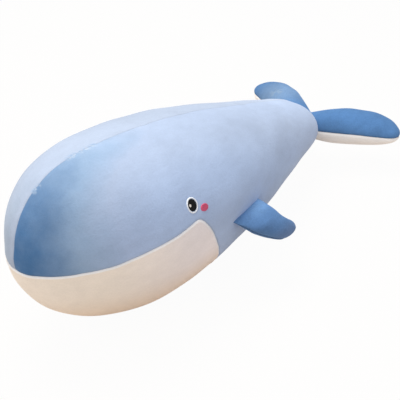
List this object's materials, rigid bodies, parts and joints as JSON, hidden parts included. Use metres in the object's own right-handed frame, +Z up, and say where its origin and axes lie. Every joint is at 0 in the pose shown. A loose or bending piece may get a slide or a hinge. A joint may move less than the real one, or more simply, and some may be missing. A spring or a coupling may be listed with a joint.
{
  "type": "plush whale",
  "caption": "Large stuffed whale with a round body, cream chin, embroidered eyes, two side flippers and a two-lobed tail fin.",
  "frame": {"origin": "bottom centre of the toy's bounding box, on the floor that it rests on", "axes": "+Z up, the nose points along -Y and the tail along +Y, +X is the whale's own left side"},
  "size_m": [0.4, 0.941, 0.3294],
  "materials": {
    "light_blue_plush": "matte",
    "dark_blue_plush": "matte",
    "cream_plush": "matte",
    "fibre_fill": "matte",
    "white_thread": "satin",
    "black_thread": "satin",
    "pink_thread": "satin"
  },
  "bodies": {
    "whale_body": {"back_panel_left": "light_blue_plush", "back_panel_right": "light_blue_plush", "chin_panel": "cream_plush", "body_stuffing": "fibre_fill", "eye_left_white": "white_thread", "eye_left_pupil": "black_thread", "eye_left_highlight": "white_thread", "eye_right_white": "white_thread", "eye_right_pupil": "black_thread", "eye_right_highlight": "white_thread", "blush_left": "pink_thread", "blush_right": "pink_thread"},
    "flipper_left": {"flipper_left_top": "dark_blue_plush", "flipper_left_under": "dark_blue_plush", "flipper_left_stuffing": "fibre_fill"},
    "flipper_right": {"flipper_right_top": "dark_blue_plush", "flipper_right_under": "dark_blue_plush", "flipper_right_stuffing": "fibre_fill"},
    "fluke": {"fluke_top": "dark_blue_plush", "fluke_under": "cream_plush", "fluke_stuffing": "fibre_fill"}
  },
  "joints": [
    {"name": "flipper_left_flap", "type": "hinge", "parent": "whale_body", "child": "flipper_left", "pos_m": [0.14932, -0.0868, 0.1528], "axis": [0.1205, -0.9904, 0.068], "range_deg": [-20, 50], "stiffness_Nm_per_rad": 0.1, "springref_deg": 1.43},
    {"name": "flipper_right_flap", "type": "hinge", "parent": "whale_body", "child": "flipper_right", "pos_m": [-0.14932, -0.0868, 0.1528], "axis": [0.1205, 0.9904, -0.068], "range_deg": [-20, 50], "stiffness_Nm_per_rad": 0.1, "springref_deg": 1.43},
    {"name": "fluke_swing", "type": "hinge", "parent": "whale_body", "child": "fluke", "pos_m": [0, 0.27543, 0.1165], "axis": [1, 0, 0], "range_deg": [-18, 25], "stiffness_Nm_per_rad": 2, "springref_deg": 1.89}
  ]
}
